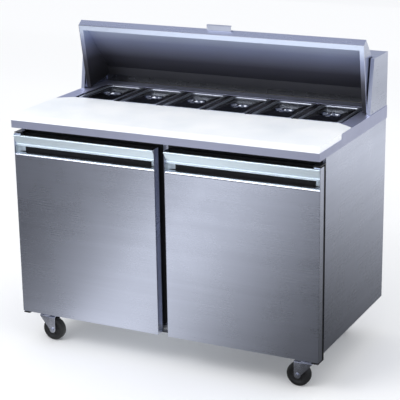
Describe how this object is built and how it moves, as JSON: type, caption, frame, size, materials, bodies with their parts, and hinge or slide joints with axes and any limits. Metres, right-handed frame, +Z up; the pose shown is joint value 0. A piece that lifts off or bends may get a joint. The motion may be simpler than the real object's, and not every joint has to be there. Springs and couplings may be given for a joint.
{
  "type": "sandwich prep table",
  "caption": "Refrigerated sandwich preparation table on casters: hinged doors with full-width pulls, cutting board, covered food pans, wedge lid that tips into a rear hood.",
  "frame": {"origin": "on the floor, under the middle of the worktop's width and depth", "axes": "+X to the user's right, +Y from the front to the back, +Z up"},
  "size_m": [1.226, 0.684, 1.2015],
  "materials": {
    "stainless": "brushed",
    "lid_lining": "brushed, darker inside",
    "pan_steel": "polished pressed steel",
    "cutting_board": "satin polyethylene",
    "black_plastic": "satin",
    "gasket": "soft vinyl",
    "foam": "rigid foam",
    "liner": "satin",
    "galvanised": "galvanised sheet",
    "hinge_black": "black",
    "zinc": "bright zinc",
    "caster_rubber": "satin",
    "shelf_wire": "epoxy coated",
    "coil": "mill finish",
    "compressor_paint": "gloss black",
    "fan_plastic": "moulded"
  },
  "bodies": {
    "root": {"side_skins": "stainless", "face_frame": "stainless", "worktop": "stainless", "hood_cheeks": "stainless", "hood_shell": "stainless", "well_liner": "pan_steel", "pan_bars": "pan_steel", "breaker_frames": "black_plastic", "insulation": "foam", "inner_liner": "liner", "shelf_rails": "liner", "back_skin": "galvanised", "base_pan": "galvanised", "rear_grille": "galvanised", "hinges": "hinge_black", "caster_plates": "zinc", "shelves": "shelf_wire", "evaporator": "coil", "condenser": "coil", "compressor": "compressor_paint"},
    "lid": {"lid_shell": "stainless", "lid_core": "foam", "lid_liner": "lid_lining", "lid_pins": "zinc", "lid_handle": "stainless"},
    "board": {"cutting_board": "cutting_board"},
    "evaporator_fan": {"evaporator_fan": "fan_plastic"},
    "condenser_fan": {"condenser_fan": "fan_plastic"},
    "door_left": {"door_skin_left": "stainless", "door_core_left": "foam", "door_liner_left": "black_plastic", "door_recess_left": "black_plastic", "door_pull_left": "stainless", "door_gasket_left": "gasket"},
    "door_right": {"door_skin_right": "stainless", "door_core_right": "foam", "door_liner_right": "black_plastic", "door_recess_right": "black_plastic", "door_pull_right": "stainless", "door_gasket_right": "gasket"},
    "pan_1": {"pan_1": "pan_steel"},
    "cover_1": {"cover_1": "pan_steel"},
    "pan_2": {"pan_2": "pan_steel"},
    "cover_2": {"cover_2": "pan_steel"},
    "pan_3": {"pan_3": "pan_steel"},
    "cover_3": {"cover_3": "pan_steel"},
    "pan_4": {"pan_4": "pan_steel"},
    "cover_4": {"cover_4": "pan_steel"},
    "pan_5": {"pan_5": "pan_steel"},
    "cover_5": {"cover_5": "pan_steel"},
    "pan_6": {"pan_6": "pan_steel"},
    "cover_6": {"cover_6": "pan_steel"},
    "caster_front_left": {"caster_fork_front_left": "zinc"},
    "wheel_front_left": {"caster_wheel_front_left": "caster_rubber"},
    "caster_front_right": {"caster_fork_front_right": "zinc"},
    "wheel_front_right": {"caster_wheel_front_right": "caster_rubber"},
    "caster_rear_left": {"caster_fork_rear_left": "zinc"},
    "wheel_rear_left": {"caster_wheel_rear_left": "caster_rubber"},
    "caster_rear_right": {"caster_fork_rear_right": "zinc"},
    "wheel_rear_right": {"caster_wheel_rear_right": "caster_rubber"}
  },
  "joints": [
    {"name": "lid_hinge", "type": "hinge", "parent": "root", "child": "lid", "pos_m": [0, 0.178, 0.915], "axis": [-1, 0, 0], "range_deg": [-80, 0]},
    {"name": "door_left_hinge", "type": "hinge", "parent": "root", "child": "door_left", "pos_m": [-0.598, -0.318, 0.48], "axis": [0, 0, -1], "range_deg": [0, 110], "stiffness_Nm_per_rad": 1},
    {"name": "door_right_hinge", "type": "hinge", "parent": "root", "child": "door_right", "pos_m": [0.598, -0.318, 0.48], "axis": [0, 0, 1], "range_deg": [0, 110], "stiffness_Nm_per_rad": 1},
    {"name": "board_lift", "type": "slide", "parent": "root", "child": "board", "axis": [0, 0, 1], "range_m": [0, 0.12]},
    {"name": "pan_1_lift", "type": "slide", "parent": "root", "child": "pan_1", "axis": [0, 0, 1], "range_m": [0, 0.055]},
    {"name": "cover_1_lift", "type": "slide", "parent": "pan_1", "child": "cover_1", "axis": [0, 0, 1], "range_m": [0, 0.04]},
    {"name": "pan_2_lift", "type": "slide", "parent": "root", "child": "pan_2", "axis": [0, 0, 1], "range_m": [0, 0.055]},
    {"name": "cover_2_lift", "type": "slide", "parent": "pan_2", "child": "cover_2", "axis": [0, 0, 1], "range_m": [0, 0.04]},
    {"name": "pan_3_lift", "type": "slide", "parent": "root", "child": "pan_3", "axis": [0, 0, 1], "range_m": [0, 0.055]},
    {"name": "cover_3_lift", "type": "slide", "parent": "pan_3", "child": "cover_3", "axis": [0, 0, 1], "range_m": [0, 0.04]},
    {"name": "pan_4_lift", "type": "slide", "parent": "root", "child": "pan_4", "axis": [0, 0, 1], "range_m": [0, 0.055]},
    {"name": "cover_4_lift", "type": "slide", "parent": "pan_4", "child": "cover_4", "axis": [0, 0, 1], "range_m": [0, 0.04]},
    {"name": "pan_5_lift", "type": "slide", "parent": "root", "child": "pan_5", "axis": [0, 0, 1], "range_m": [0, 0.055]},
    {"name": "cover_5_lift", "type": "slide", "parent": "pan_5", "child": "cover_5", "axis": [0, 0, 1], "range_m": [0, 0.04]},
    {"name": "pan_6_lift", "type": "slide", "parent": "root", "child": "pan_6", "axis": [0, 0, 1], "range_m": [0, 0.055]},
    {"name": "cover_6_lift", "type": "slide", "parent": "pan_6", "child": "cover_6", "axis": [0, 0, 1], "range_m": [0, 0.04]},
    {"name": "caster_front_left_swivel", "type": "hinge", "parent": "root", "child": "caster_front_left", "pos_m": [-0.545, -0.267, 0.11], "axis": [0, 0, 1], "continuous": true},
    {"name": "wheel_front_left_spin", "type": "hinge", "parent": "caster_front_left", "child": "wheel_front_left", "pos_m": [-0.514, -0.267, 0.045], "axis": [0, 1, 0], "continuous": true},
    {"name": "caster_front_right_swivel", "type": "hinge", "parent": "root", "child": "caster_front_right", "pos_m": [0.545, -0.267, 0.11], "axis": [0, 0, 1], "continuous": true},
    {"name": "wheel_front_right_spin", "type": "hinge", "parent": "caster_front_right", "child": "wheel_front_right", "pos_m": [0.514, -0.267, 0.045], "axis": [0, 1, 0], "continuous": true},
    {"name": "caster_rear_left_swivel", "type": "hinge", "parent": "root", "child": "caster_rear_left", "pos_m": [-0.495, 0.258, 0.11], "axis": [0, 0, 1], "continuous": true},
    {"name": "wheel_rear_left_spin", "type": "hinge", "parent": "caster_rear_left", "child": "wheel_rear_left", "pos_m": [-0.464, 0.258, 0.045], "axis": [0, 1, 0], "continuous": true},
    {"name": "caster_rear_right_swivel", "type": "hinge", "parent": "root", "child": "caster_rear_right", "pos_m": [0.495, 0.258, 0.11], "axis": [0, 0, 1], "continuous": true},
    {"name": "wheel_rear_right_spin", "type": "hinge", "parent": "caster_rear_right", "child": "wheel_rear_right", "pos_m": [0.464, 0.258, 0.045], "axis": [0, 1, 0], "continuous": true},
    {"name": "evaporator_fan_spin", "type": "hinge", "parent": "root", "child": "evaporator_fan", "pos_m": [0, 0.081, 0.668], "axis": [0, 1, 0], "continuous": true},
    {"name": "condenser_fan_spin", "type": "hinge", "parent": "root", "child": "condenser_fan", "pos_m": [0.21, 0.301, 0.278], "axis": [0, 1, 0], "continuous": true}
  ]
}
